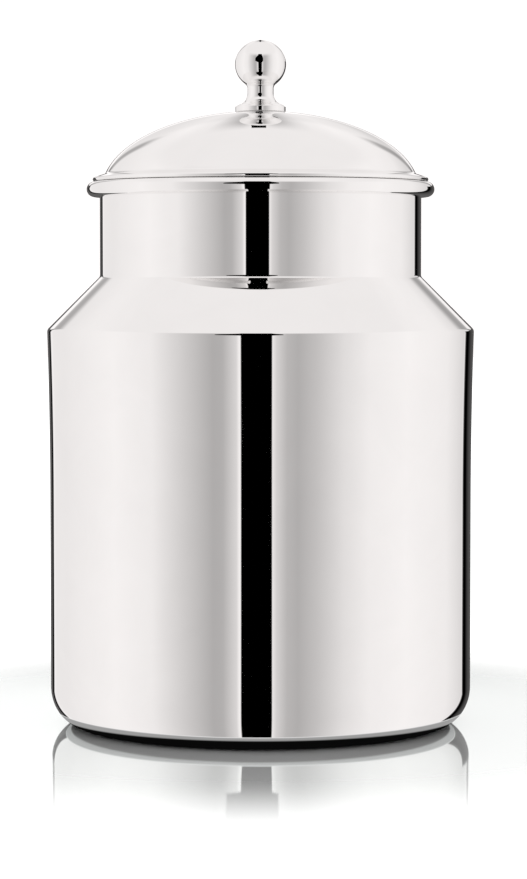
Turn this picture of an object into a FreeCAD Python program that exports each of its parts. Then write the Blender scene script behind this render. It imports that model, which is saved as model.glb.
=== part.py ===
import FreeCAD, Part
import math
import os

# Milk can of polished stainless steel: a drawn body with a welded shoulder and neck, a rolled
# mouth with a wire in it, and a domed lid that drops into the mouth and lifts off by its knob.
# Millimetres. +Z is up and is the can's own axis. The can stands on the plane z = 0.

Vector = FreeCAD.Vector
AXIS = Vector(0, 0, 1)
ORIGIN = Vector(0, 0, 0)

# ---- driving dimensions ------------------------------------------------------------------

# Body, measured on the outer face of its sheet
can_sheet = 0.8
wall_radius = 93.5
foot_width = 13.9          # how far the rounded foot reaches in from the wall
foot_height = 16.6
recess_depth = 2.0         # the bottom is pressed up inside its standing ring
recess_radius = 66.0
recess_bend = 1.6
flare_start_z = 100.0      # above this height the wall opens very slightly
weld_radius = 94.65
weld_z = 173.5             # the body ends and the shoulder is welded on

# Shoulder and neck, measured on the outer face
neck_radius = 71.2
neck_foot_z = 198.8        # where the 45 degree shoulder meets the neck
shoulder_bend = 2.5
neck_bend = 2.0

# Rolled mouth
roll_z = 237.3
wire_gap = 0.05
roll_inner_radius = 2.5
roll_end_angle = -130.0    # the sheet's edge tucks in under the roll

# Lid, measured on the upper face of its sheet
lid_sheet = 0.7
dome_radius = 70.4
dome_rise = 35.2
dome_centre_z = 236.7
dome_foot_bend = 1.4
lip_radius = 74.3
lip_clearance = 0.1        # the lid's lip above the crown of the roll
brim_slope = math.radians(18.4)
hem_return = 2.3
seat_radius = 10.0         # flat pressed at the top of the dome for the knob
screw_hole_radius = 2.75

# Skirt that centres the lid in the neck
skirt_sheet = 0.5
skirt_clearance = 0.5
skirt_bottom_z = 222.0
skirt_taper_height = 2.0
skirt_taper_width = 0.7
skirt_top_bend = 0.5
skirt_taper_bend = 3.0
skirt_flange_radius = 72.9

# Knob and its fastening
knob_flange_radius = 11.1
knob_flange_top_z = 273.9
knob_flange_edge = 0.5
knob_cove_radius = 5.3     # the hollow curve from the flange up to the waist
knob_cove_turn = 75.0
knob_waist_radius = 5.75
knob_waist_z = 279.9
knob_ball_radius = 11.3
knob_ball_rise = 10.75
knob_ball_z = 292.5
knob_neck_fillet = 2.6
screw_radius = 2.5         # M5
thread_gap = 0.05
screw_engagement = 9.0
thread_run_out = 1.5
screw_head_radius = 4.75
screw_head_height = 3.4
screw_head_edge = 1.4
screw_slot_width = 1.2
screw_slot_depth = 1.4
washer_radius = 6.0
washer_hole_radius = 2.75
washer_thickness = 1.0
lock_washer_radius = 4.4
lock_washer_hole_radius = 2.6
lock_washer_thickness = 1.2
lock_washer_split = 0.8
lock_washer_split_tilt = 20.0

# ---- sizes worked out from them ----------------------------------------------------------

flare_middle_z = (flare_start_z + weld_z) / 2
flare_slope = (weld_radius - wall_radius) / (weld_z - flare_middle_z)

roll_outer_radius = roll_inner_radius + can_sheet
roll_radius = neck_radius + roll_inner_radius
neck_bore_radius = neck_radius - can_sheet

hem_outer_radius = lid_sheet + skirt_sheet / 2
hem_inner_radius = skirt_sheet / 2
hem_radius = lip_radius - hem_outer_radius
hem_z = roll_z + roll_outer_radius + lip_clearance + hem_outer_radius
skirt_radius = neck_bore_radius - skirt_clearance


def dome_height(radius, inset=0.0):
    """Height of the dome's upper face, or of the face that lies inset below it."""
    share = radius / (dome_radius - inset)
    return dome_centre_z + (dome_rise - inset) * math.sqrt(1 - share ** 2)


def dome_width(z, inset=0.0):
    """Radius of the dome at a height."""
    share = (z - dome_centre_z) / (dome_rise - inset)
    return (dome_radius - inset) * math.sqrt(1 - share ** 2)


def brim_height(radius, depth):
    """Height of the sloping brim, depth below its upper face."""
    rise = (hem_outer_radius - depth) / math.cos(brim_slope)
    return hem_z + rise + (hem_radius - radius) * math.tan(brim_slope)


def brim_meets_dome(inset):
    """Radius where the brim's line crosses the dome's ellipse."""
    a = dome_radius - inset
    b = dome_rise - inset
    slope = -math.tan(brim_slope)
    level = brim_height(0, inset) - dome_centre_z
    square = (b / a) ** 2 + slope ** 2
    half_linear = slope * level
    constant = level ** 2 - b ** 2
    return (-half_linear + math.sqrt(half_linear ** 2 - square * constant)) / square


seat_z = dome_height(seat_radius)
seat_underside_z = seat_z - lid_sheet
lock_washer_z = seat_underside_z - washer_thickness
screw_head_z = lock_washer_z - lock_washer_thickness


# ---- drawing helpers ---------------------------------------------------------------------
# A half-section lies in the XZ plane. A corner is (radius, z) or (radius, z, bend radius).

def at(radius, z):
    return Vector(radius, 0, z)


def on_circle(centre, radius, degrees):
    angle = math.radians(degrees)
    return at(centre[0] + radius * math.cos(angle), centre[1] + radius * math.sin(angle))


def circle_arc(centre, radius, start, end):
    """Arc between two angles, by way of the angle halfway between them."""
    ends = [on_circle(centre, radius, angle) for angle in (start, (start + end) / 2, end)]
    return Part.Arc(*ends).toShape()


def ellipse_arc(centre, half_width, half_height, start, end):
    """Part of an upright ellipse between two angles, counted from +X towards +Z."""
    middle = at(*centre)
    side = middle + Vector(half_width, 0, 0)
    top = middle + Vector(0, 0, half_height)
    if half_width >= half_height:
        ellipse = Part.Ellipse(side, top, middle)
        return Part.Arc(ellipse, start, end).toShape()
    ellipse = Part.Ellipse(top, side, middle)
    return Part.Arc(ellipse, math.pi / 2 - end, math.pi / 2 - start).toShape()


def polyline(points):
    """Straight edges from point to point."""
    ends = [at(*point) for point in points]
    return [Part.makeLine(first, second) for first, second in zip(ends, ends[1:])]


def directions(before, corner, after):
    """Unit vectors along the runs that meet at a corner."""
    arriving = (at(*corner[:2]) - at(*before[:2])).normalize()
    leaving = (at(*after[:2]) - at(*corner[:2])).normalize()
    return arriving, leaving


def turn(arriving, leaving):
    """Signed turn at a corner: positive to the left."""
    cross = arriving.x * leaving.z - arriving.z * leaving.x
    return math.atan2(cross, arriving.dot(leaving))


def bent_line(corners):
    """Straight runs joined by tangent arcs, each with its corner's bend radius."""
    edges = []
    here = at(*corners[0][:2])
    for before, corner, after in zip(corners, corners[1:], corners[2:]):
        arriving, leaving = directions(before, corner, after)
        half_turn = abs(turn(arriving, leaving)) / 2
        tip = at(*corner[:2])
        tangent = corner[2] * math.tan(half_turn)
        depth = corner[2] / math.cos(half_turn) - corner[2]
        inward = (leaving - arriving).normalize()
        start = tip - arriving * tangent
        end = tip + leaving * tangent
        edges.append(Part.makeLine(here, start))
        edges.append(Part.Arc(start, tip + inward * depth, end).toShape())
        here = end
    edges.append(Part.makeLine(here, at(*corners[-1][:2])))
    return edges


def left_of(direction):
    """Unit vector to the left of a direction of travel."""
    return Vector(-direction.z, 0, direction.x)


def beside(corners, distance):
    """The corners of the bent line that lies a sheet's thickness to the left of this one."""
    points = [at(*corner[:2]) for corner in corners]
    sides = [left_of((after - before).normalize()) for before, after in zip(points, points[1:])]
    start = points[0] + sides[0] * distance
    end = points[-1] + sides[-1] * distance
    moved = [(start.x, start.z)]
    for index, corner in enumerate(corners[1:-1], start=1):
        arriving, leaving = directions(*corners[index - 1:index + 2])
        shift = (sides[index - 1] + sides[index]) * (distance / (1 + arriving.dot(leaving)))
        bend = corner[2] - math.copysign(distance, turn(arriving, leaving))
        moved.append((corner[0] + shift.x, corner[1] + shift.z, bend))
    moved.append((end.x, end.z))
    return moved


def spun(edges):
    """Turns a closed half-section into a solid of revolution."""
    wire = Part.Wire(Part.__sortEdges__(edges))
    return Part.Face(wire).revolve(ORIGIN, AXIS, 360)


def rounded_ring(shape, radius, z, fillet):
    """Fillets the round edge at a radius and height, found on the side away from the seam."""
    probe = Part.Vertex(at(-radius, z))
    ring = min(shape.Edges, key=lambda edge: edge.distToShape(probe)[0])
    return shape.makeFillet(fillet, [ring])


def disc(radius, bottom_z, height):
    return Part.makeCylinder(radius, height, at(0, bottom_z))


def washer(outer_radius, hole_radius, bottom_z, thickness):
    return disc(outer_radius, bottom_z, thickness).cut(disc(hole_radius, bottom_z, thickness))


# ---- can ---------------------------------------------------------------------------------

def side_edges(inset):
    """Side of the body: quarter ellipse at the foot, upright wall, slightly flared top."""
    centre = (wall_radius - foot_width, foot_height)
    quarter = ellipse_arc(centre, foot_width - inset, foot_height - inset, -math.pi / 2, 0)
    wall = polyline([(wall_radius - inset, foot_height), (wall_radius - inset, flare_start_z)])
    flare = Part.BezierCurve()
    flare.setPoles([at(wall_radius - inset, flare_start_z),
                    at(wall_radius - inset, flare_middle_z),
                    at(weld_radius - inset, weld_z)])
    return [quarter] + wall + [flare.toShape()]


def make_body_shell():
    """Drawn body: recessed bottom, standing ring, rounded foot and wall up to the weld."""
    underside = [(0, recess_depth),
                 (recess_radius - recess_depth, recess_depth, recess_bend),
                 (recess_radius, 0, recess_bend),
                 (wall_radius - foot_width, 0)]
    upper_side = beside(underside, can_sheet)
    edges = bent_line(underside) + side_edges(0)
    edges += bent_line(upper_side) + side_edges(can_sheet)
    edges += polyline([underside[0], upper_side[0]])
    edges += polyline([(weld_radius, weld_z), (weld_radius - can_sheet, weld_z)])
    return spun(edges)


def make_neck_shell():
    """Spun shoulder and neck, its top edge rolled outwards round a wire."""
    shoulder_sum = neck_radius + neck_foot_z
    crease_z = (shoulder_sum - weld_radius + flare_slope * weld_z) / (1 + flare_slope)
    outside = [(weld_radius, weld_z),
               (shoulder_sum - crease_z, crease_z, shoulder_bend),
               (neck_radius, neck_foot_z, neck_bend),
               (neck_radius, roll_z)]
    inside = beside(outside, can_sheet)
    inside[0] = (weld_radius - can_sheet, weld_z)
    centre = (roll_radius, roll_z)
    edges = bent_line(outside) + bent_line(inside)
    edges.append(circle_arc(centre, roll_inner_radius, 180, roll_end_angle))
    edges.append(circle_arc(centre, roll_outer_radius, 180, roll_end_angle))
    edges.append(Part.makeLine(on_circle(centre, roll_inner_radius, roll_end_angle),
                               on_circle(centre, roll_outer_radius, roll_end_angle)))
    edges += polyline([outside[0], inside[0]])
    return spun(edges)


def make_rim_wire():
    """Wire ring that the mouth is rolled round."""
    wire_radius = roll_inner_radius - wire_gap
    return Part.makeTorus(roll_radius, wire_radius, at(0, roll_z), AXIS)


# ---- lid ---------------------------------------------------------------------------------

def dome_edge(inset, top_z, foot_radius):
    """The dome's curve between its flat seat and the brim."""
    a = dome_radius - inset
    foot_angle = math.acos(foot_radius / a)
    top_angle = math.acos(dome_width(top_z, inset) / a)
    return ellipse_arc((0, dome_centre_z), a, dome_rise - inset, foot_angle, top_angle)


def make_lid_shell():
    """Domed lid with a flat seat on top and a brim whose edge is hemmed over the skirt."""
    tilt = math.degrees(brim_slope)
    centre = (hem_radius, hem_z)
    edges = []
    for depth, radius, top_z in ((0.0, hem_outer_radius, seat_z),
                                 (lid_sheet, hem_inner_radius, seat_underside_z)):
        foot = brim_meets_dome(depth)
        over = on_circle(centre, radius, 90 - tilt)
        under = on_circle(centre, radius, -90 - tilt)
        inward = Vector(-math.cos(brim_slope), 0, math.sin(brim_slope)) * hem_return
        edges += polyline([(screw_hole_radius, top_z), (dome_width(top_z, depth), top_z)])
        edges.append(dome_edge(depth, top_z, foot))
        edges.append(Part.makeLine(at(foot, brim_height(foot, depth)), over))
        edges.append(circle_arc(centre, radius, 90 - tilt, -90 - tilt))
        edges.append(Part.makeLine(under, under + inward))
        last = under + inward
        if depth == 0:
            outer_end = last
    edges.append(Part.makeLine(outer_end, last))
    edges += polyline([(screw_hole_radius, seat_z), (screw_hole_radius, seat_underside_z)])
    lid = spun(edges)
    top_foot = brim_meets_dome(0)
    low_foot = brim_meets_dome(lid_sheet)
    lid = rounded_ring(lid, top_foot, brim_height(top_foot, 0), dome_foot_bend)
    low_bend = dome_foot_bend + lid_sheet
    return rounded_ring(lid, low_foot, brim_height(low_foot, lid_sheet), low_bend)


def make_lid_skirt():
    """Collar that hangs in the neck, its flange caught in the brim's hem."""
    depth = lid_sheet + skirt_sheet
    outside = [(skirt_radius - skirt_taper_width, skirt_bottom_z),
               (skirt_radius, skirt_bottom_z + skirt_taper_height, skirt_taper_bend),
               (skirt_radius, brim_height(skirt_radius, depth), skirt_top_bend),
               (skirt_flange_radius, brim_height(skirt_flange_radius, depth))]
    inside = beside(outside, skirt_sheet)
    edges = bent_line(outside) + bent_line(inside)
    edges += polyline([outside[0], inside[0]]) + polyline([outside[-1], inside[-1]])
    return spun(edges)


# ---- knob and fastening ------------------------------------------------------------------

def make_knob():
    """Turned knob: round flange, hollow curve to a waist, slightly flattened ball."""
    cove_centre = (knob_waist_radius + knob_cove_radius, knob_waist_z)
    cove_start_angle = -180 + knob_cove_turn
    cove_start = on_circle(cove_centre, knob_cove_radius, cove_start_angle)
    ball_foot_angle = -math.acos(knob_waist_radius / knob_ball_radius)
    ball_foot_z = knob_ball_z + knob_ball_rise * math.sin(ball_foot_angle)
    edges = polyline([(0, seat_z), (knob_flange_radius, seat_z),
                      (knob_flange_radius, knob_flange_top_z),
                      (cove_start.x, cove_start.z)])
    edges.append(circle_arc(cove_centre, knob_cove_radius, cove_start_angle, -180))
    edges += polyline([(knob_waist_radius, knob_waist_z), (knob_waist_radius, ball_foot_z)])
    edges.append(ellipse_arc((0, knob_ball_z), knob_ball_radius, knob_ball_rise,
                             ball_foot_angle, math.pi / 2))
    edges += polyline([(0, knob_ball_z + knob_ball_rise), (0, seat_z)])
    knob = spun(edges)
    knob = rounded_ring(knob, knob_waist_radius, ball_foot_z, knob_neck_fillet)
    knob = rounded_ring(knob, knob_flange_radius, knob_flange_top_z, knob_flange_edge)
    knob = rounded_ring(knob, knob_flange_radius, seat_z, knob_flange_edge)
    hole_depth = screw_engagement + thread_run_out
    return knob.cut(disc(screw_radius, seat_z, hole_depth))


def make_knob_screw():
    """Pan-head screw driven up into the knob from inside the lid."""
    head_bottom_z = screw_head_z - screw_head_height
    head = disc(screw_head_radius, head_bottom_z, screw_head_height)
    head = rounded_ring(head, screw_head_radius, head_bottom_z, screw_head_edge)
    slot = Part.makeBox(2 * screw_head_radius, screw_slot_width, screw_slot_depth,
                        Vector(-screw_head_radius, -screw_slot_width / 2, head_bottom_z))
    shank_radius = screw_radius - thread_gap
    shank = disc(shank_radius, screw_head_z, seat_z + screw_engagement - screw_head_z)
    return head.fuse(shank).cut(slot).removeSplitter()


def make_knob_washer():
    return washer(washer_radius, washer_hole_radius, lock_washer_z, washer_thickness)


def make_knob_lock_washer():
    """Spring washer with its slanting split."""
    ring = washer(lock_washer_radius, lock_washer_hole_radius, screw_head_z,
                  lock_washer_thickness)
    reach = 2 * lock_washer_radius
    middle_z = screw_head_z + lock_washer_thickness / 2
    cutter = Part.makeBox(reach, lock_washer_split, reach,
                          Vector(0, -lock_washer_split / 2, -reach / 2))
    cutter.rotate(ORIGIN, Vector(1, 0, 0), lock_washer_split_tilt)
    cutter.translate(at(0, middle_z))
    return ring.cut(cutter)


# ---- one file for each piece -------------------------------------------------------------

PIECES = {
    "body_shell": make_body_shell,
    "neck_shell": make_neck_shell,
    "rim_wire": make_rim_wire,
    "lid_shell": make_lid_shell,
    "lid_skirt": make_lid_skirt,
    "knob": make_knob,
    "knob_screw": make_knob_screw,
    "knob_washer": make_knob_washer,
    "knob_lock_washer": make_knob_lock_washer,
}

os.makedirs("parts", exist_ok=True)
for name, make in PIECES.items():
    shape = make()
    box = shape.BoundBox
    print(f"{name}: valid {shape.isValid()}, solids {len(shape.Solids)}, "
          f"{shape.Volume / 1000:.2f} cm3, z {box.ZMin:.2f} to {box.ZMax:.2f}, "
          f"radius {box.XMax:.2f}")
    shape.exportStep(f"parts/{name}.step")
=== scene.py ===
import math
import bpy
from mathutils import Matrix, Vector


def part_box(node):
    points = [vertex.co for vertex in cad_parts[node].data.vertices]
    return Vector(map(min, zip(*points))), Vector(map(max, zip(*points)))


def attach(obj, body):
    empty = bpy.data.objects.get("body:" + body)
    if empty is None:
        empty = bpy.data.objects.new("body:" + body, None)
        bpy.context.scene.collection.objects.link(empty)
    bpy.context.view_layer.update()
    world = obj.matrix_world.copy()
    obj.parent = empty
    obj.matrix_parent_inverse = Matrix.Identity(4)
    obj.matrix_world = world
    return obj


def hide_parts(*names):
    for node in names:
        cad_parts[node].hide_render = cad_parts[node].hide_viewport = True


# A polished stainless steel milk can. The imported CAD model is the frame; the sheet shells and the
# knob are rebuilt here as finely turned surfaces, because a mirror shows every facet. Outlines are
# written in millimetres and become metres in the lathe; all other lengths are in metres.

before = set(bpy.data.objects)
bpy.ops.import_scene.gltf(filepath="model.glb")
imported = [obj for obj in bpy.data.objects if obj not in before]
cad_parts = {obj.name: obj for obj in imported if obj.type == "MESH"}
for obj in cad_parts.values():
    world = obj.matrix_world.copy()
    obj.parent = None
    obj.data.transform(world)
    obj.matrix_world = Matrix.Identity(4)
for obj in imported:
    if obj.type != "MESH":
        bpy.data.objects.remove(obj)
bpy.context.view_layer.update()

MM = 0.001

# ---- the can, outer face of its sheet ------------------------------------------------------

CAN_SHEET = 0.8
WALL_RADIUS = 93.5
FOOT_WIDTH = 13.9
FOOT_HEIGHT = 16.6
RECESS_DEPTH = 2.0
RECESS_RADIUS = 66.0
RECESS_BEND = 1.6
FLARE_START_Z = 100.0
FLARE_STEPS = 24
WELD_RADIUS = 94.61
WELD_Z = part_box("body_shell")[1][2] / MM
SHOULDER_BEND = 2.5
NECK_RADIUS = 71.2
NECK_FOOT_Z = 198.8
NECK_BEND = 2.0
ROLL_Z = 237.3
ROLL_INNER_RADIUS = 2.5
ROLL_OUTER_RADIUS = ROLL_INNER_RADIUS + CAN_SHEET
ROLL_END_ANGLE = -130.0

# ---- the lid, upper face of its sheet ------------------------------------------------------

LID_SHEET = 0.7
DOME_RADIUS = 70.4
DOME_RISE = 35.2
DOME_CENTRE_Z = 236.7
DOME_FOOT_BEND = 1.4
SKIRT_SHEET = 0.5
HEM_OUTER_RADIUS = LID_SHEET + SKIRT_SHEET / 2
LID_RADIUS = 74.3
HEM_RADIUS = LID_RADIUS - HEM_OUTER_RADIUS
HEM_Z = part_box("lid_shell")[0][2] / MM + HEM_OUTER_RADIUS
HEM_RETURN = 2.3
BRIM_SLOPE = math.radians(18.4)
SEAT_RADIUS = 10.0
SCREW_HOLE_RADIUS = 2.75

# ---- the knob ------------------------------------------------------------------------------

FLANGE_RADIUS = 11.1
FLANGE_TOP_Z = 273.9
FLANGE_EDGE = 0.5
COVE_RADIUS = 5.3
COVE_TURN = 75.0
WAIST_RADIUS = 5.75
WAIST_Z = 279.9
BALL_RADIUS = 11.3
BALL_RISE = 10.75
BALL_Z = 292.5
BALL_FILLET = 2.6
SCREW_RADIUS = 2.5
SCREW_DEPTH = 10.5

# ---- how finely the outlines are turned ----------------------------------------------------

SHELL_TURNS = 288       # steps in one full turn
KNOB_TURNS = 144
SAME_POINT = 1e-5       # millimetres, as the outlines are
ON_AXIS = 1e-6


# ---- outlines ------------------------------------------------------------------------------
# An outline runs round a half-section with the metal on its left. It is a list of stretches, and
# a stretch is a list of (point, direction of travel), so that every normal is exact.

def straight(start, end):
    along = (Vector(end) - Vector(start)).normalized()
    return [(Vector(start), along), (Vector(end), along)]


def oval(centre, half_width, half_height, start, end, step=4.0):
    """Stretch of an upright ellipse between two angles in degrees, counted from +r towards +z."""
    count = max(2, math.ceil(abs(end - start) / step))
    way = math.copysign(1.0, end - start)
    stretch = []
    for index in range(count + 1):
        angle = math.radians(start + (end - start) * index / count)
        point = Vector((centre[0] + half_width * math.cos(angle),
                        centre[1] + half_height * math.sin(angle)))
        along = Vector((-half_width * math.sin(angle), half_height * math.cos(angle))) * way
        stretch.append((point, along.normalized()))
    return stretch


def arc(centre, radius, start, end, step=5.0):
    return oval(centre, radius, radius, start, end, step)


def backwards(stretches):
    return [[(point, -along) for point, along in reversed(stretch)]
            for stretch in reversed(stretches)]


def left_of(direction):
    return Vector((-direction.y, direction.x))


def bent(corners):
    """Straight runs joined by tangent arcs; a corner is (r, z, bend radius)."""
    stretches = []
    here = Vector(corners[0][:2])
    for before, corner, after in zip(corners, corners[1:], corners[2:]):
        tip = Vector(corner[:2])
        arriving = (tip - Vector(before[:2])).normalized()
        leaving = (Vector(after[:2]) - tip).normalized()
        turn = math.atan2(arriving.cross(leaving), arriving.dot(leaving))
        side = math.copysign(1.0, turn)
        start = tip - arriving * corner[2] * math.tan(abs(turn) / 2)
        centre = start + left_of(arriving) * side * corner[2]
        spoke = math.degrees(math.atan2(start.y - centre.y, start.x - centre.x))
        stretches.append(straight(here, start))
        stretches.append(arc(centre, corner[2], spoke, spoke + math.degrees(turn)))
        here = stretches[-1][-1][0]
    stretches.append(straight(here, corners[-1][:2]))
    return stretches


def beside(corners, distance):
    """Corners of the bent line that lies a sheet's thickness to the left of this one."""
    points = [Vector(corner[:2]) for corner in corners]
    runs = [(after - before).normalized() for before, after in zip(points, points[1:])]
    moved = [tuple(points[0] + left_of(runs[0]) * distance)]
    for corner, point, arriving, leaving in zip(corners[1:], points[1:], runs, runs[1:]):
        shift = left_of(arriving) + left_of(leaving)
        shift *= distance / (1 + arriving.dot(leaving))
        bend = corner[2] - math.copysign(distance, arriving.cross(leaving))
        moved.append((*(point + shift), bend))
    moved.append(tuple(points[-1] + left_of(runs[-1]) * distance))
    return moved


def solved(miss, low, high):
    """Value between low and high where miss changes sign, by halving."""
    low_is_negative = miss(low) < 0
    for _ in range(50):
        middle = (low + high) / 2
        if (miss(middle) < 0) == low_is_negative:
            low = middle
        else:
            high = middle
    return (low + high) / 2


def oval_point(centre, half_width, half_height, degrees, offset):
    """Point at a distance outside an upright ellipse, along its normal."""
    angle = math.radians(degrees)
    normal = Vector((math.cos(angle) / half_width, math.sin(angle) / half_height)).normalized()
    on_curve = Vector((half_width * math.cos(angle), half_height * math.sin(angle)))
    return Vector(centre) + on_curve + normal * offset


def heading(origin, point):
    """Angle in degrees from origin to point."""
    return math.degrees(math.atan2(point.y - origin.y, point.x - origin.x))


# ---- lathe ---------------------------------------------------------------------------------

def rings_and_bands(finishes):
    """Rings of the outline in order, and the bands between them.

    A band is (its first ring, travel at its start, travel at its end, material index)."""
    rings = []
    bands = []
    for slot_index, (_, stretches) in enumerate(finishes):
        for stretch in stretches:
            for (start, along), (end, onward) in zip(stretch, stretch[1:]):
                if not rings or (rings[-1] - start).length > SAME_POINT:
                    rings.append(start)
                bands.append((len(rings) - 1, along, onward, slot_index))
                rings.append(end)
    if (rings[-1] - rings[0]).length < SAME_POINT:
        rings.pop()
    return rings, bands


def ring_vertices(rings, spokes):
    """Vertices ring by ring, each ring's first vertex, and its count: one on the axis."""
    vertices, first, count = [], [], []
    for ring in rings:
        first.append(len(vertices))
        count.append(1 if ring.x < ON_AXIS else len(spokes))
        radius = ring.x * MM
        for cosine, sine in spokes[:count[-1]]:
            vertices.append((radius * cosine, radius * sine, ring.y * MM))
    return vertices, first, count


def band_faces(bands, spokes, first, count):
    """Faces of every band, a normal for each of their corners, and their material indices."""
    faces, normals, slots = [], [], []
    for low, along, onward, slot_index in bands:
        high = (low + 1) % len(first)
        for step in range(len(spokes)):
            after = (step + 1) % len(spokes)
            corners = [(low, step, along), (low, after, along),
                       (high, after, onward), (high, step, onward)]
            if count[low] == 1:
                corners.pop(1)
            if count[high] == 1:
                corners.pop()
            faces.append([first[ring] + spoke % count[ring] for ring, spoke, _ in corners])
            slots.append(slot_index)
            for _, spoke, travel in corners:
                cosine, sine = spokes[spoke]
                normals.append((travel.y * cosine, travel.y * sine, -travel.x))
    return faces, normals, slots


def lathe(name, finishes, turns):
    """Turns an outline into a closed mesh with exact normals.

    finishes is a list of (material, stretches); the stretches follow on from one another."""
    angles = [2 * math.pi * step / turns for step in range(turns)]
    spokes = [(math.cos(angle), math.sin(angle)) for angle in angles]
    rings, bands = rings_and_bands(finishes)
    vertices, first, count = ring_vertices(rings, spokes)
    faces, normals, slots = band_faces(bands, spokes, first, count)
    mesh = bpy.data.meshes.new(name)
    mesh.from_pydata(vertices, [], faces)
    for material, _ in finishes:
        mesh.materials.append(material)
    mesh.polygons.foreach_set("material_index", slots)
    mesh.polygons.foreach_set("use_smooth", [True] * len(faces))
    mesh.normals_split_custom_set(normals)
    piece = bpy.data.objects.new(name, mesh)
    bpy.context.scene.collection.objects.link(piece)
    return piece


def place(piece, node, body):
    """The piece stands for a CAD node, which it hides, and moves with its body."""
    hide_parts(node)
    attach(piece, body)


def sheet_piece(name, outside, inside, bright, satin):
    """Sheet shell, bright on its outer face and satin on its inner face and edges."""
    cap = straight(outside[-1][-1][0], inside[-1][-1][0])
    lining = [cap] + backwards(inside)
    start = outside[0][0][0]
    end = inside[0][0][0]
    if start.x > ON_AXIS:
        lining.append(straight(end, start))
    return lathe(name, [(bright, outside), (satin, lining)], SHELL_TURNS)


# ---- sheet shells --------------------------------------------------------------------------

def body_side(inset):
    """Foot, wall and the slight flare at its top, inset from the outer face."""
    centre = (WALL_RADIUS - FOOT_WIDTH, FOOT_HEIGHT)
    foot = oval(centre, FOOT_WIDTH - inset, FOOT_HEIGHT - inset, -90, 0, step=2.0)
    wall = straight((WALL_RADIUS - inset, FOOT_HEIGHT), (WALL_RADIUS - inset, FLARE_START_Z))
    flare = []
    for step in range(FLARE_STEPS + 1):
        share = step / FLARE_STEPS
        rise = (WELD_Z - FLARE_START_Z) * share
        radius = WALL_RADIUS + (WELD_RADIUS - WALL_RADIUS) * share ** 2 - inset
        along = Vector((flare_slope() * share, 1.0)).normalized()
        flare.append((Vector((radius, FLARE_START_Z + rise)), along))
    return [foot, wall, flare]


def flare_slope():
    """How fast the wall opens where it meets the shoulder."""
    return 2 * (WELD_RADIUS - WALL_RADIUS) / (WELD_Z - FLARE_START_Z)


def make_body(bright, satin):
    underside = [(0, RECESS_DEPTH),
                 (RECESS_RADIUS - RECESS_DEPTH, RECESS_DEPTH, RECESS_BEND),
                 (RECESS_RADIUS, 0, RECESS_BEND),
                 (WALL_RADIUS - FOOT_WIDTH, 0)]
    outside = bent(underside) + body_side(0)
    inside = bent(beside(underside, CAN_SHEET)) + body_side(CAN_SHEET)
    body = sheet_piece("polished_body", outside, inside, bright, satin)
    place(body, "body_shell", "can")


def make_neck(bright, satin):
    shoulder_sum = NECK_RADIUS + NECK_FOOT_Z
    slope = flare_slope()
    crease_z = (shoulder_sum - WELD_RADIUS + slope * WELD_Z) / (1 + slope)
    corners = [(WELD_RADIUS, WELD_Z),
               (shoulder_sum - crease_z, crease_z, SHOULDER_BEND),
               (NECK_RADIUS, NECK_FOOT_Z, NECK_BEND),
               (NECK_RADIUS, ROLL_Z)]
    inner_corners = beside(corners, CAN_SHEET)
    inner_corners[0] = (WELD_RADIUS - CAN_SHEET, WELD_Z)
    roll = (NECK_RADIUS + ROLL_INNER_RADIUS, ROLL_Z)
    outside = bent(corners) + [arc(roll, ROLL_INNER_RADIUS, 180, ROLL_END_ANGLE, step=12.0)]
    inside = bent(inner_corners) + [arc(roll, ROLL_OUTER_RADIUS, 180, ROLL_END_ANGLE)]
    cap = straight(outside[-1][-1][0], inside[-1][-1][0])
    bead = backwards(inside[-1:])
    lining = backwards(inside[:-1]) + [straight(inner_corners[0], corners[0])]
    finishes = [(bright, outside + [cap] + bead), (satin, lining)]
    neck = lathe("polished_neck", finishes, SHELL_TURNS)
    place(neck, "neck_shell", "can")


def lid_line(depth):
    """Line along the lid's sheet, depth below its upper face, from the hem's end to the hole."""
    tilt = math.degrees(BRIM_SLOPE)
    hem = Vector((HEM_RADIUS, HEM_Z))
    up = Vector((math.sin(BRIM_SLOPE), math.cos(BRIM_SLOPE)))
    inward = Vector((-math.cos(BRIM_SLOPE), math.sin(BRIM_SLOPE)))
    radius = HEM_OUTER_RADIUS - depth
    fillet = DOME_FOOT_BEND + depth
    dome = ((0, DOME_CENTRE_Z), DOME_RADIUS - depth, DOME_RISE - depth)
    reach = HEM_OUTER_RADIUS + DOME_FOOT_BEND
    foot_angle = solved(lambda angle: (oval_point(*dome, angle, fillet) - hem).dot(up) - reach,
                        low=2.0, high=40.0)
    bend_centre = oval_point(*dome, foot_angle, fillet)
    bend_start = bend_centre - up * fillet
    bend_end = oval_point(*dome, foot_angle, 0.0)
    seat_z = DOME_CENTRE_Z + DOME_RISE * math.sqrt(1 - (SEAT_RADIUS / DOME_RADIUS) ** 2) - depth
    seat_angle = math.degrees(math.asin((seat_z - DOME_CENTRE_Z) / (DOME_RISE - depth)))
    under = hem - up * radius
    dome_stretch = oval(*dome, foot_angle, seat_angle, step=1.5)
    return [straight(under + inward * HEM_RETURN, under),
            arc(hem, radius, -90 - tilt, 90 - tilt, step=6.0),
            straight(hem + up * radius, bend_start),
            arc(bend_centre, fillet, heading(bend_centre, bend_start),
                heading(bend_centre, bend_end)),
            dome_stretch,
            straight(dome_stretch[-1][0], (SCREW_HOLE_RADIUS, seat_z))]


def make_lid(bright, satin):
    lid = sheet_piece("polished_lid", lid_line(0.0), lid_line(LID_SHEET), bright, satin)
    place(lid, "lid_shell", "lid")


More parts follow.
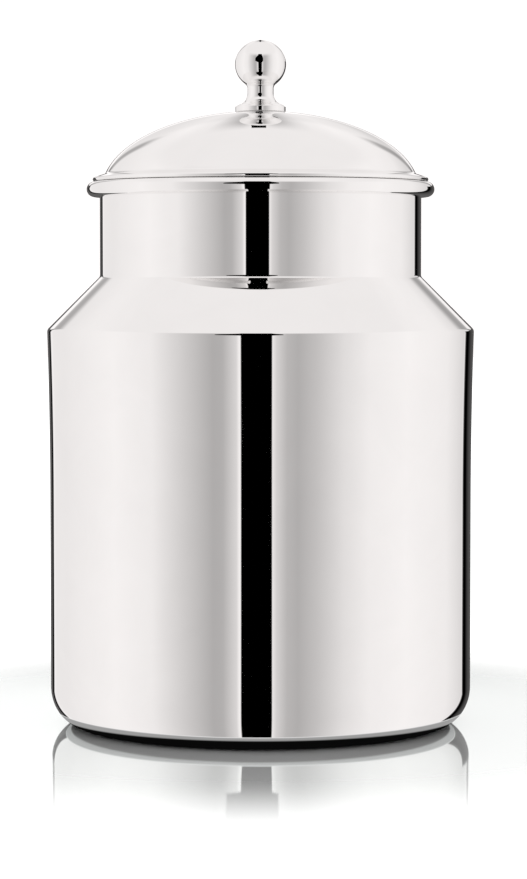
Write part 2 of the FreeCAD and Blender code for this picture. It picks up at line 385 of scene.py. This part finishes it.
def make_knob(turned):
    seat_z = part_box("knob")[0][2] / MM
    hole_top_z = seat_z + SCREW_DEPTH
    cove = Vector((WAIST_RADIUS + COVE_RADIUS, WAIST_Z))
    cove_angle = -180 + COVE_TURN
    cove_foot = oval_point(cove, COVE_RADIUS, COVE_RADIUS, cove_angle, 0.0)
    flange = bent([(SCREW_RADIUS, seat_z),
                   (FLANGE_RADIUS, seat_z, FLANGE_EDGE),
                   (FLANGE_RADIUS, FLANGE_TOP_Z, FLANGE_EDGE),
                   tuple(cove_foot)])
    ball = ((0, BALL_Z), BALL_RADIUS, BALL_RISE)
    centre_radius = WAIST_RADIUS + BALL_FILLET
    ball_angle = solved(lambda angle: oval_point(*ball, angle, BALL_FILLET).x - centre_radius,
                        low=-85.0, high=0.0)
    bend_centre = oval_point(*ball, ball_angle, BALL_FILLET)
    ball_foot = oval_point(*ball, ball_angle, 0.0)
    outline = [straight((0, hole_top_z), (SCREW_RADIUS, hole_top_z)),
               straight((SCREW_RADIUS, hole_top_z), (SCREW_RADIUS, seat_z))]
    outline += flange
    outline += [arc(cove, COVE_RADIUS, cove_angle, -180),
                straight((WAIST_RADIUS, WAIST_Z), (WAIST_RADIUS, bend_centre.y)),
                arc(bend_centre, BALL_FILLET, 180, heading(bend_centre, ball_foot)),
                oval(*ball, ball_angle, 90, step=3.0)]
    knob = lathe("turned_knob", [(turned, outline)], KNOB_TURNS)
    place(knob, "knob", "lid")


# ---- materials -----------------------------------------------------------------------------

class Nodes:
    """Short way to add shader nodes to a material's or a world's tree."""

    def __init__(self, tree):
        self.tree = tree
        tree.nodes.clear()

    def add(self, kind, settings=None, **inputs):
        node = self.tree.nodes.new(kind)
        for name, value in (settings or {}).items():
            setattr(node, name, value)
        for name, value in inputs.items():
            self.set(node.inputs[name.replace("_", " ")], value)
        return node

    def set(self, socket, value):
        if isinstance(value, bpy.types.NodeSocket):
            self.tree.links.new(value, socket)
        else:
            socket.default_value = value

    def math(self, operation, first, second=0.0):
        node = self.tree.nodes.new("ShaderNodeMath")
        node.operation = operation
        self.set(node.inputs[0], first)
        self.set(node.inputs[1], second)
        return node.outputs[0]

    def between(self, value, low, high, at_low=0.0, at_high=1.0, smooth=True):
        """Value carried from low..high to at_low..at_high, clamped at both ends."""
        node = self.tree.nodes.new("ShaderNodeMapRange")
        node.interpolation_type = "SMOOTHSTEP" if smooth else "LINEAR"
        for socket, number in zip(node.inputs, (value, low, high, at_low, at_high)):
            self.set(socket, number)
        return node.outputs[0]

    def mix(self, share, first, second):
        """Number that goes from first to second as share goes from 0 to 1."""
        node = self.tree.nodes.new("ShaderNodeMix")
        node.data_type = "FLOAT"
        self.set(node.inputs[0], share)
        self.set(node.inputs[2], first)
        self.set(node.inputs[3], second)
        return node.outputs[0]

    def ramp(self, value, stops):
        """Colour ramp with stops of (position, colour)."""
        node = self.tree.nodes.new("ShaderNodeValToRGB")
        elements = node.color_ramp.elements
        while len(elements) < len(stops):
            elements.new(1.0)
        for element, (position, colour) in zip(elements, stops):
            element.position = position
            element.color = (*colour, 1.0)
        self.set(node.inputs[0], value)
        return node.outputs[0]

    def round_about(self, angle, stops):
        """Brightness at an angle from -180 to 180 degrees, from stops of (angle, brightness)."""
        share = self.between(angle, -180.0, 180.0, smooth=False)
        return self.ramp(share, [((at + 180) / 360, (level,) * 3) for at, level in stops])


def new_material(name):
    material = bpy.data.materials.new(name)
    material.use_nodes = True
    return material, Nodes(material.node_tree)


def ring_coordinates(nodes):
    """Position on the object, and its radius, angle and height, in metres and radians."""
    position = nodes.add("ShaderNodeTexCoord").outputs["Object"]
    parts = nodes.add("ShaderNodeSeparateXYZ", Vector=position).outputs
    square = nodes.math("ADD", nodes.math("POWER", parts[0], 2.0),
                        nodes.math("POWER", parts[1], 2.0))
    radius = nodes.math("SQRT", square)
    angle = nodes.math("ARCTAN2", parts[0], parts[1])
    return position, radius, angle, parts[2]


LINE_DRIFT = 0.004      # how slowly the fine lines change on their way round
WAVES_PER_METRE = 22.0
PATCHES_PER_METRE = 34.0
PATCH_TINT = 0.965
TINT_RANGE = (0.3, 0.8)     # noise values over which the patches darken
HAZE_RANGE = (0.45, 0.75)   # and over which they turn hazy
BLOOM_RANGE = (0.3, 0.7)    # and over which the fine lines scatter more
BLOOM_SHARE = 0.5


def steel(name, tint, roughness, smudge, line_depth, wave_depth, line_pitch=0.00035):
    """Stainless steel worked on a lathe or a buffing wheel.

    tint is its colour, roughness its cleanest polish and smudge what handling adds to that.
    line_depth is the relief of the fine lines left round the axis, wave_depth that of the
    slow waves in pressed sheet, both in metres."""
    material, nodes = new_material(name)
    position, radius, angle, height = ring_coordinates(nodes)
    drift = nodes.math("MULTIPLY", nodes.math("ABSOLUTE", angle), LINE_DRIFT)
    across = nodes.add("ShaderNodeCombineXYZ", X=drift, Y=radius, Z=height).outputs[0]
    lines = nodes.add("ShaderNodeTexNoise", Vector=across, Scale=1 / line_pitch,
                      Detail=3.0, Roughness=0.6).outputs["Fac"]
    waves = nodes.add("ShaderNodeTexNoise", Vector=position, Scale=WAVES_PER_METRE,
                      Detail=1.0).outputs["Fac"]
    patches = nodes.add("ShaderNodeTexNoise", Vector=position, Scale=PATCHES_PER_METRE,
                        Detail=6.0, Roughness=0.62, Distortion=0.6).outputs["Fac"]
    haze = nodes.math("MULTIPLY", nodes.between(patches, *HAZE_RANGE), smudge)
    bloom = nodes.math("MULTIPLY", nodes.between(lines, *BLOOM_RANGE), roughness * BLOOM_SHARE)
    rough = nodes.math("ADD", nodes.math("ADD", haze, bloom), roughness)
    darker = tuple(channel * PATCH_TINT for channel in tint)
    colour = nodes.ramp(patches, list(zip(TINT_RANGE, (tint, darker))))
    fine = nodes.add("ShaderNodeBump", Strength=1.0, Distance=line_depth, Height=lines)
    slow = nodes.add("ShaderNodeBump", Strength=1.0, Distance=wave_depth, Height=waves,
                     Normal=fine.outputs[0])
    shader = nodes.add("ShaderNodeBsdfPrincipled", Metallic=1.0, Base_Color=colour,
                       Roughness=rough, Normal=slow.outputs[0])
    nodes.add("ShaderNodeOutputMaterial", Surface=shader.outputs[0])
    return material


# ---- table ---------------------------------------------------------------------------------

TABLE_HALF = 6.0
TABLE_COLOUR = (0.915, 0.945, 0.945, 1.0)
SHINE_COLOUR = (0.905, 0.945, 0.94, 1.0)
SHINE_STRENGTH = 1.9
SHINE_FADE = (0.15, 0.3)            # radii between which the table turns matt
UNDER_CAN = 0.0928                  # radius of the disc that the foot mirrors
UNDER_CAN_DROP = 0.00002            # how far it lies below the table
SHADE_RADIUS = 0.0855
SHADE_FORWARD = 0.004               # the shade reaches this much further towards the front
SHADE_BLUR_INWARD = 0.0005
SHADE_BLUR_OUTWARD = 0.001
SHADE_LIGHT = (0.003, 0.36)         # in the shade and beyond it
EDGE_GLOW = 0.5
EDGE_GLOW_WIDTH = 0.0012


def table_material():
    """Plain pale table top, a little glossy around the can and matt further out."""
    material, nodes = new_material("pale_table")
    _, radius, _, _ = ring_coordinates(nodes)
    gloss = nodes.between(radius, *SHINE_FADE, 1.0, 0.0)
    glance = nodes.add("ShaderNodeFresnel", IOR=1.5).outputs[0]
    share = nodes.math("MULTIPLY", gloss, nodes.math("MULTIPLY", glance, SHINE_STRENGTH))
    matt = nodes.add("ShaderNodeBsdfDiffuse", Color=TABLE_COLOUR)
    shine = nodes.add("ShaderNodeBsdfGlossy", Color=SHINE_COLOUR, Roughness=0.05)
    both = nodes.add("ShaderNodeMixShader", Fac=share)
    nodes.set(both.inputs[1], matt.outputs[0])
    nodes.set(both.inputs[2], shine.outputs[0])
    nodes.add("ShaderNodeOutputMaterial", Surface=both.outputs[0])
    return material


def shade_material():
    """What the foot mirrors of the table: none of the tent's light close under the can, deepest
    in front, and more of it towards the edge."""
    material, nodes = new_material("shade_under_can")
    position, radius, _, _ = ring_coordinates(nodes)
    forward = nodes.add("ShaderNodeVectorMath", Vector=position)
    forward.inputs[1].default_value = (0.0, SHADE_FORWARD, 0.0)
    shaded = nodes.add("ShaderNodeVectorMath", {"operation": "LENGTH"},
                       Vector=forward.outputs[0]).outputs["Value"]
    grey = nodes.between(shaded, SHADE_RADIUS - SHADE_BLUR_INWARD,
                         SHADE_RADIUS + SHADE_BLUR_OUTWARD, *SHADE_LIGHT)
    edge = nodes.between(radius, UNDER_CAN - EDGE_GLOW_WIDTH, UNDER_CAN, 0.0, EDGE_GLOW)
    glow = nodes.add("ShaderNodeEmission", Color=nodes.math("ADD", grey, edge))
    nodes.add("ShaderNodeOutputMaterial", Surface=glow.outputs[0])
    return material


def stage_sheet(name, outline, material):
    """Flat sheet of the stage, which is not part of the can."""
    mesh = bpy.data.meshes.new(name)
    mesh.from_pydata([(x, y, 0.0) for x, y in outline], [], [range(len(outline))])
    mesh.materials.append(material)
    sheet = bpy.data.objects.new(name, mesh)
    bpy.context.scene.collection.objects.link(sheet)
    return sheet


def make_floor():
    """Plain pale table, left out of mirrored rays so that the tent's own lower half shows in
    the can; a disc of shade stands for it where the foot mirrors the table under the can."""
    half = TABLE_HALF
    square = [(-half, -half), (half, -half), (half, half), (-half, half)]
    table = stage_sheet("table", square, table_material())
    table.visible_glossy = False
    angles = [math.radians(step) for step in range(0, 360, 3)]
    circle = [(UNDER_CAN * math.cos(angle), UNDER_CAN * math.sin(angle)) for angle in angles]
    disc = stage_sheet("shade_under_can", circle, shade_material())
    disc.location.z = -UNDER_CAN_DROP
    disc.visible_camera = False
    disc.visible_diffuse = False


# ---- studio --------------------------------------------------------------------------------
# The can stands in a white tent. Angles are in degrees, azimuth counted from the camera's side
# and positive to its right. The walls are listed by turn (see make_studio) with the brightness
# that polished steel shows, from 0 to 255; the cards are listed by azimuth.

STEEL_TINT = (0.94, 0.934, 0.93)
TENT_TINT = (1.0, 0.972, 0.967, 1.0)
TENT_WALLS = [(-180, 232), (-130, 234), (-85, 246), (-60, 238), (-40, 204), (-25, 174),
              (-20, 177), (-12.5, 216), (-11, 246), (6, 250), (7.5, 216), (14, 184), (20, 176),
              (30, 194), (45, 224), (60, 240), (85, 247), (120, 239), (141, 217), (180, 232)]
OVERHEAD = 238
OVERHEAD_FROM = (34.0, 52.0)

# Black cards beside the backdrop draw the can's outline: share of the tent's light they leave,
# below the table's horizon, just above it and higher up.
LOW_CARDS = [(-180, 0.13), (-162, 0.13), (-160, 0.0), (-156, 0.0), (-154.5, 1.15),
             (-150, 1.0), (142, 1.0), (143.5, 1.15), (145, 0.0), (151, 0.0), (153, 0.03),
             (158, 0.08), (170, 0.13), (180, 0.13)]
MIDDLE_CARDS = [(-180, 1.3), (-163, 1.2), (-161, 0.3), (-157, 0.3), (-155.5, 1.1), (-150, 1.0),
                (150, 1.0), (155.5, 1.1), (157, 0.3), (161, 0.3), (163, 1.2), (180, 1.3)]
HIGH_CARDS = [(-180, 0.9), (-164, 0.95), (-161, 0.5), (-157, 0.5), (-153, 1.0),
              (153, 1.0), (157, 0.5), (161, 0.5), (164, 0.95), (180, 0.9)]
MIDDLE_FROM = (6.9, 7.8)
HIGH_FROM = (11.5, 14.0)
CARDS_END = (26.0, 34.0)

# The opening for the camera is a dark slot, wider and off to the left above the camera.
OPENING_MIDDLE = -2.1
OPENING_HALF_WIDTH = 8.2
OPENING_TOP = 48.0
UPPER_MIDDLE = -6.0
UPPER_HALF_WIDTH = 18.0
UPPER_FROM = (4.0, 15.0)
UPPER_NARROWS_FROM = 24.0
OPENING_BLUR = 0.3
OPENING_TOP_BLUR = 1.0

TABLE_LIGHT = 1.5       # on matt surfaces
BACKDROP_LIGHT = 1.1    # straight into the camera


def seen(brightness):
    """Light that polished steel shows as this brightness."""
    return (brightness / 255) ** 2.2 / STEEL_TINT[0]


def card_shares(nodes, azimuth, elevation):
    """Share of the tent's light that the cards leave."""
    low, middle, high = [nodes.round_about(azimuth, cards)
                         for cards in (LOW_CARDS, MIDDLE_CARDS, HIGH_CARDS)]
    share = nodes.mix(nodes.between(elevation, *MIDDLE_FROM), low, middle)
    share = nodes.mix(nodes.between(elevation, *HIGH_FROM), share, high)
    return nodes.mix(nodes.between(elevation, *CARDS_END), share, 1.0)


def outside_opening(nodes, turn, elevation):
    """0 in the opening for the camera and 1 elsewhere."""
    upper = nodes.math("MULTIPLY", nodes.between(elevation, *UPPER_FROM),
                       nodes.between(elevation, UPPER_NARROWS_FROM, OPENING_TOP, 1.0, 0.0))
    middle = nodes.mix(upper, OPENING_MIDDLE, UPPER_MIDDLE)
    half_width = nodes.mix(upper, OPENING_HALF_WIDTH, UPPER_HALF_WIDTH)
    off_middle = nodes.math("ABSOLUTE", nodes.math("SUBTRACT", turn, middle))
    past_edge = nodes.math("SUBTRACT", off_middle, half_width)
    beside_it = nodes.between(past_edge, -OPENING_BLUR, OPENING_BLUR)
    above_it = nodes.between(elevation, OPENING_TOP - OPENING_TOP_BLUR,
                             OPENING_TOP + OPENING_TOP_BLUR)
    return nodes.math("MAXIMUM", beside_it, above_it)


def make_studio():
    """Light tent all round. A direction's turn is the azimuth that an upright wall would mirror
    into the camera at the same place round the can, so edges drawn by turn look upright in it."""
    world = bpy.data.worlds.new("light_tent")
    world.use_nodes = True
    world.cycles.sampling_method = "NONE"
    bpy.context.scene.world = world
    nodes = Nodes(world.node_tree)
    direction = nodes.add("ShaderNodeTexCoord").outputs["Generated"]
    parts = nodes.add("ShaderNodeSeparateXYZ", Vector=direction).outputs
    towards_camera = nodes.math("MULTIPLY", parts[1], -1.0)
    azimuth = nodes.math("DEGREES", nodes.math("ARCTAN2", parts[0], towards_camera))
    half_turn = nodes.math("ARCTAN2", parts[0], nodes.math("ADD", towards_camera, 1.0))
    turn = nodes.math("MULTIPLY", nodes.math("DEGREES", half_turn), 2.0)
    elevation = nodes.math("DEGREES", nodes.math("ARCSINE", parts[2]))
    walls = nodes.round_about(turn, [(at, seen(level)) for at, level in TENT_WALLS])
    walls = nodes.math("MULTIPLY", walls, card_shares(nodes, azimuth, elevation))
    light = nodes.mix(nodes.between(elevation, *OVERHEAD_FROM), walls, seen(OVERHEAD))
    light = nodes.math("MULTIPLY", light, outside_opening(nodes, turn, elevation))
    ray = nodes.add("ShaderNodeLightPath").outputs
    light = nodes.mix(ray["Is Glossy Ray"], TABLE_LIGHT, light)
    light = nodes.mix(ray["Is Camera Ray"], light, BACKDROP_LIGHT)
    background = nodes.add("ShaderNodeBackground", Color=TENT_TINT, Strength=light)
    nodes.add("ShaderNodeOutputWorld", Surface=background.outputs[0])


# ---- camera --------------------------------------------------------------------------------

CAMERA_LENS = 122.55    # millimetres
CAMERA_SIDE = 0.0013
CAMERA_DISTANCE = 1.331
CAMERA_HEIGHT = 0.1989
CAMERA_DOWN = 3.121
CAMERA_REACH = 50.0


def make_camera():
    """Long lens a little above half height, looking slightly down."""
    data = bpy.data.cameras.new("camera")
    data.lens = CAMERA_LENS
    data.clip_end = CAMERA_REACH
    camera = bpy.data.objects.new("camera", data)
    camera.location = (CAMERA_SIDE, -CAMERA_DISTANCE, CAMERA_HEIGHT)
    camera.rotation_euler = (math.radians(90 - CAMERA_DOWN), 0, 0)
    bpy.context.scene.collection.objects.link(camera)
    bpy.context.scene.camera = camera


# ---- the scene -----------------------------------------------------------------------------

bright_steel = steel("mirror_polished_sheet", STEEL_TINT, roughness=0.012, smudge=0.015,
                     line_depth=3e-9, wave_depth=4e-6, line_pitch=0.0008)
satin_steel = steel("satin_inside_of_sheet", (0.80, 0.785, 0.775), roughness=0.16, smudge=0.06,
                    line_depth=1.5e-6, wave_depth=4e-6)
turned_steel = steel("turned_polished_knob", STEEL_TINT, roughness=0.02, smudge=0.02,
                     line_depth=4e-8, wave_depth=1e-6)
skirt_steel = steel("bright_rolled_skirt", (0.84, 0.82, 0.81), roughness=0.09, smudge=0.05,
                    line_depth=6e-7, wave_depth=4e-6)
wire_steel = steel("drawn_rim_wire", (0.55, 0.55, 0.54), roughness=0.3, smudge=0.1,
                   line_depth=1e-6, wave_depth=1e-6)
fastener_steel = steel("plain_fasteners", (0.66, 0.65, 0.635), roughness=0.24, smudge=0.08,
                       line_depth=1e-6, wave_depth=1e-6)

make_body(bright_steel, satin_steel)
make_neck(bright_steel, satin_steel)
make_lid(bright_steel, satin_steel)
make_knob(turned_steel)

kept_from_cad = {"lid_skirt": skirt_steel, "rim_wire": wire_steel, "knob_screw": fastener_steel,
                 "knob_washer": fastener_steel, "knob_lock_washer": fastener_steel}
for node, material in kept_from_cad.items():
    for material_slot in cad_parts[node].material_slots:
        material_slot.material = material

make_studio()
make_floor()
make_camera()
bpy.context.scene.view_settings.view_transform = "Standard"
